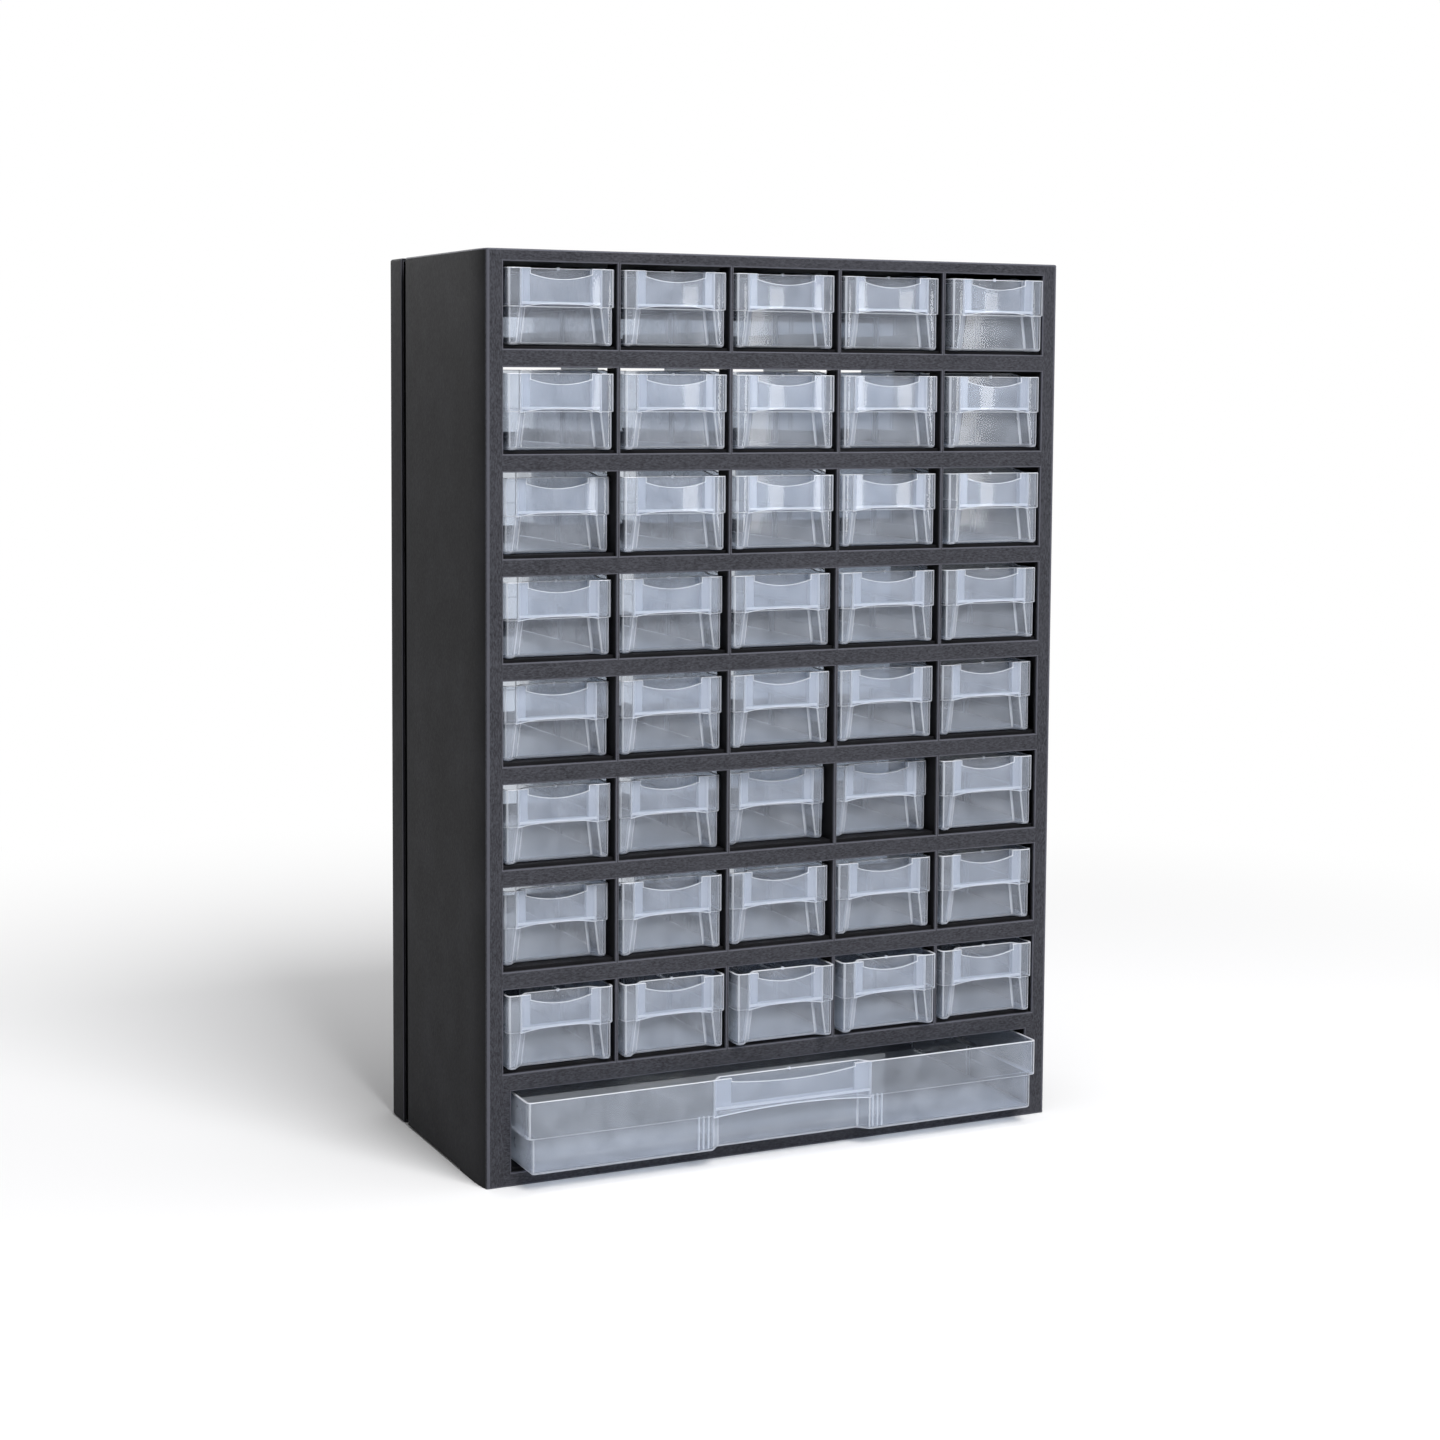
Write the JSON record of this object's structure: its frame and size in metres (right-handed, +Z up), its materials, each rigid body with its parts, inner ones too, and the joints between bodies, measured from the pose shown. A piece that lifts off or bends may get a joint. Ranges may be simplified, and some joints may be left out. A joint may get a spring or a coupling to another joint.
{
  "type": "parts drawer cabinet",
  "caption": "Upright parts cabinet: an open-backed plastic housing with a grid of small clear pull-out drawers above one wide drawer, to stand or hang on a wall.",
  "frame": {"origin": "on the floor under the middle of the cabinet's footprint", "axes": "+X to the right seen from the front, +Y to the back, +Z up; the drawers' fronts face -Y"},
  "size_m": [0.3044, 0.1551, 0.43],
  "materials": {
    "housing_plastic": "black moulded plastic with a fine grain",
    "drawer_plastic": "milky translucent plastic, smooth"
  },
  "bodies": {
    "housing": {"left_side_panel": "housing_plastic", "right_side_panel": "housing_plastic", "top_panel": "housing_plastic", "floor_panel": "housing_plastic", "shelf_1": "housing_plastic", "shelf_2": "housing_plastic", "shelf_3": "housing_plastic", "shelf_4": "housing_plastic", "shelf_5": "housing_plastic", "shelf_6": "housing_plastic", "shelf_7": "housing_plastic", "shelf_8": "housing_plastic", "face_bars": "housing_plastic", "divider_posts": "housing_plastic", "guide_rails": "housing_plastic", "rear_stops": "housing_plastic", "lower_cheeks": "housing_plastic", "rear_frame": "housing_plastic"},
    "drawer_r1_c1": {"drawer_r1_c1": "drawer_plastic"},
    "drawer_r1_c2": {"drawer_r1_c2": "drawer_plastic"},
    "drawer_r1_c3": {"drawer_r1_c3": "drawer_plastic"},
    "drawer_r1_c4": {"drawer_r1_c4": "drawer_plastic"},
    "drawer_r1_c5": {"drawer_r1_c5": "drawer_plastic"},
    "drawer_r2_c1": {"drawer_r2_c1": "drawer_plastic"},
    "drawer_r2_c2": {"drawer_r2_c2": "drawer_plastic"},
    "drawer_r2_c3": {"drawer_r2_c3": "drawer_plastic"},
    "drawer_r2_c4": {"drawer_r2_c4": "drawer_plastic"},
    "drawer_r2_c5": {"drawer_r2_c5": "drawer_plastic"},
    "drawer_r3_c1": {"drawer_r3_c1": "drawer_plastic"},
    "drawer_r3_c2": {"drawer_r3_c2": "drawer_plastic"},
    "drawer_r3_c3": {"drawer_r3_c3": "drawer_plastic"},
    "drawer_r3_c4": {"drawer_r3_c4": "drawer_plastic"},
    "drawer_r3_c5": {"drawer_r3_c5": "drawer_plastic"},
    "drawer_r4_c1": {"drawer_r4_c1": "drawer_plastic"},
    "drawer_r4_c2": {"drawer_r4_c2": "drawer_plastic"},
    "drawer_r4_c3": {"drawer_r4_c3": "drawer_plastic"},
    "drawer_r4_c4": {"drawer_r4_c4": "drawer_plastic"},
    "drawer_r4_c5": {"drawer_r4_c5": "drawer_plastic"},
    "drawer_r5_c1": {"drawer_r5_c1": "drawer_plastic"},
    "drawer_r5_c2": {"drawer_r5_c2": "drawer_plastic"},
    "drawer_r5_c3": {"drawer_r5_c3": "drawer_plastic"},
    "drawer_r5_c4": {"drawer_r5_c4": "drawer_plastic"},
    "drawer_r5_c5": {"drawer_r5_c5": "drawer_plastic"},
    "drawer_r6_c1": {"drawer_r6_c1": "drawer_plastic"},
    "drawer_r6_c2": {"drawer_r6_c2": "drawer_plastic"},
    "drawer_r6_c3": {"drawer_r6_c3": "drawer_plastic"},
    "drawer_r6_c4": {"drawer_r6_c4": "drawer_plastic"},
    "drawer_r6_c5": {"drawer_r6_c5": "drawer_plastic"},
    "drawer_r7_c1": {"drawer_r7_c1": "drawer_plastic"},
    "drawer_r7_c2": {"drawer_r7_c2": "drawer_plastic"},
    "drawer_r7_c3": {"drawer_r7_c3": "drawer_plastic"},
    "drawer_r7_c4": {"drawer_r7_c4": "drawer_plastic"},
    "drawer_r7_c5": {"drawer_r7_c5": "drawer_plastic"},
    "drawer_r8_c1": {"drawer_r8_c1": "drawer_plastic"},
    "drawer_r8_c2": {"drawer_r8_c2": "drawer_plastic"},
    "drawer_r8_c3": {"drawer_r8_c3": "drawer_plastic"},
    "drawer_r8_c4": {"drawer_r8_c4": "drawer_plastic"},
    "drawer_r8_c5": {"drawer_r8_c5": "drawer_plastic"},
    "wide_drawer": {"wide_drawer": "drawer_plastic"}
  },
  "joints": [
    {"name": "drawer_r1_c1_slide", "type": "slide", "parent": "housing", "child": "drawer_r1_c1", "axis": [0, -1, 0], "range_m": [-0.008, 0.102]},
    {"name": "drawer_r1_c2_slide", "type": "slide", "parent": "housing", "child": "drawer_r1_c2", "axis": [0, -1, 0], "range_m": [-0.007, 0.103]},
    {"name": "drawer_r1_c3_slide", "type": "slide", "parent": "housing", "child": "drawer_r1_c3", "axis": [0, -1, 0], "range_m": [-0.007, 0.103]},
    {"name": "drawer_r1_c4_slide", "type": "slide", "parent": "housing", "child": "drawer_r1_c4", "axis": [0, -1, 0], "range_m": [-0.007, 0.103]},
    {"name": "drawer_r1_c5_slide", "type": "slide", "parent": "housing", "child": "drawer_r1_c5", "axis": [0, -1, 0], "range_m": [-0.011, 0.099]},
    {"name": "drawer_r2_c1_slide", "type": "slide", "parent": "housing", "child": "drawer_r2_c1", "axis": [0, -1, 0], "range_m": [-0.008, 0.102]},
    {"name": "drawer_r2_c2_slide", "type": "slide", "parent": "housing", "child": "drawer_r2_c2", "axis": [0, -1, 0], "range_m": [-0.0085, 0.1015]},
    {"name": "drawer_r2_c3_slide", "type": "slide", "parent": "housing", "child": "drawer_r2_c3", "axis": [0, -1, 0], "range_m": [-0.008, 0.102]},
    {"name": "drawer_r2_c4_slide", "type": "slide", "parent": "housing", "child": "drawer_r2_c4", "axis": [0, -1, 0], "range_m": [-0.007, 0.103]},
    {"name": "drawer_r2_c5_slide", "type": "slide", "parent": "housing", "child": "drawer_r2_c5", "axis": [0, -1, 0], "range_m": [-0.0087, 0.1013]},
    {"name": "drawer_r3_c1_slide", "type": "slide", "parent": "housing", "child": "drawer_r3_c1", "axis": [0, -1, 0], "range_m": [-0.003, 0.107]},
    {"name": "drawer_r3_c2_slide", "type": "slide", "parent": "housing", "child": "drawer_r3_c2", "axis": [0, -1, 0], "range_m": [-0.008, 0.102]},
    {"name": "drawer_r3_c3_slide", "type": "slide", "parent": "housing", "child": "drawer_r3_c3", "axis": [0, -1, 0], "range_m": [-0.008, 0.102]},
    {"name": "drawer_r3_c4_slide", "type": "slide", "parent": "housing", "child": "drawer_r3_c4", "axis": [0, -1, 0], "range_m": [-0.0065, 0.1035]},
    {"name": "drawer_r3_c5_slide", "type": "slide", "parent": "housing", "child": "drawer_r3_c5", "axis": [0, -1, 0], "range_m": [-0.0095, 0.1005]},
    {"name": "drawer_r4_c1_slide", "type": "slide", "parent": "housing", "child": "drawer_r4_c1", "axis": [0, -1, 0], "range_m": [-0.0055, 0.1045]},
    {"name": "drawer_r4_c2_slide", "type": "slide", "parent": "housing", "child": "drawer_r4_c2", "axis": [0, -1, 0], "range_m": [-0.005, 0.105]},
    {"name": "drawer_r4_c3_slide", "type": "slide", "parent": "housing", "child": "drawer_r4_c3", "axis": [0, -1, 0], "range_m": [-0.0055, 0.1045]},
    {"name": "drawer_r4_c4_slide", "type": "slide", "parent": "housing", "child": "drawer_r4_c4", "axis": [0, -1, 0], "range_m": [-0.0065, 0.1035]},
    {"name": "drawer_r4_c5_slide", "type": "slide", "parent": "housing", "child": "drawer_r4_c5", "axis": [0, -1, 0], "range_m": [-0.008, 0.102]},
    {"name": "drawer_r5_c1_slide", "type": "slide", "parent": "housing", "child": "drawer_r5_c1", "axis": [0, -1, 0], "range_m": [-0.003, 0.107]},
    {"name": "drawer_r5_c2_slide", "type": "slide", "parent": "housing", "child": "drawer_r5_c2", "axis": [0, -1, 0], "range_m": [-0.005, 0.105]},
    {"name": "drawer_r5_c3_slide", "type": "slide", "parent": "housing", "child": "drawer_r5_c3", "axis": [0, -1, 0], "range_m": [-0.0055, 0.1045]},
    {"name": "drawer_r5_c4_slide", "type": "slide", "parent": "housing", "child": "drawer_r5_c4", "axis": [0, -1, 0], "range_m": [-0.006, 0.104]},
    {"name": "drawer_r5_c5_slide", "type": "slide", "parent": "housing", "child": "drawer_r5_c5", "axis": [0, -1, 0], "range_m": [-0.005, 0.105]},
    {"name": "drawer_r6_c1_slide", "type": "slide", "parent": "housing", "child": "drawer_r6_c1", "axis": [0, -1, 0], "range_m": [-0.0055, 0.1045]},
    {"name": "drawer_r6_c2_slide", "type": "slide", "parent": "housing", "child": "drawer_r6_c2", "axis": [0, -1, 0], "range_m": [-0.003, 0.107]},
    {"name": "drawer_r6_c3_slide", "type": "slide", "parent": "housing", "child": "drawer_r6_c3", "axis": [0, -1, 0], "range_m": [-0.001, 0.109]},
    {"name": "drawer_r6_c4_slide", "type": "slide", "parent": "housing", "child": "drawer_r6_c4", "axis": [0, -1, 0], "range_m": [-0.001, 0.109]},
    {"name": "drawer_r6_c5_slide", "type": "slide", "parent": "housing", "child": "drawer_r6_c5", "axis": [0, -1, 0], "range_m": [-0.0075, 0.1025]},
    {"name": "drawer_r7_c1_slide", "type": "slide", "parent": "housing", "child": "drawer_r7_c1", "axis": [0, -1, 0], "range_m": [-0.003, 0.107]},
    {"name": "drawer_r7_c2_slide", "type": "slide", "parent": "housing", "child": "drawer_r7_c2", "axis": [0, -1, 0], "range_m": [-0.0065, 0.1035]},
    {"name": "drawer_r7_c3_slide", "type": "slide", "parent": "housing", "child": "drawer_r7_c3", "axis": [0, -1, 0], "range_m": [-0.0055, 0.1045]},
    {"name": "drawer_r7_c4_slide", "type": "slide", "parent": "housing", "child": "drawer_r7_c4", "axis": [0, -1, 0], "range_m": [-0.006, 0.104]},
    {"name": "drawer_r7_c5_slide", "type": "slide", "parent": "housing", "child": "drawer_r7_c5", "axis": [0, -1, 0], "range_m": [-0.0075, 0.1025]},
    {"name": "drawer_r8_c1_slide", "type": "slide", "parent": "housing", "child": "drawer_r8_c1", "axis": [0, -1, 0], "range_m": [-0.009, 0.101]},
    {"name": "drawer_r8_c2_slide", "type": "slide", "parent": "housing", "child": "drawer_r8_c2", "axis": [0, -1, 0], "range_m": [-0.01, 0.1]},
    {"name": "drawer_r8_c3_slide", "type": "slide", "parent": "housing", "child": "drawer_r8_c3", "axis": [0, -1, 0], "range_m": [-0.013, 0.097]},
    {"name": "drawer_r8_c4_slide", "type": "slide", "parent": "housing", "child": "drawer_r8_c4", "axis": [0, -1, 0], "range_m": [-0.0125, 0.0975]},
    {"name": "drawer_r8_c5_slide", "type": "slide", "parent": "housing", "child": "drawer_r8_c5", "axis": [0, -1, 0], "range_m": [-0.0095, 0.1005]},
    {"name": "wide_drawer_slide", "type": "slide", "parent": "housing", "child": "wide_drawer", "axis": [0, -1, 0], "range_m": [-0.022, 0.078]}
  ]
}
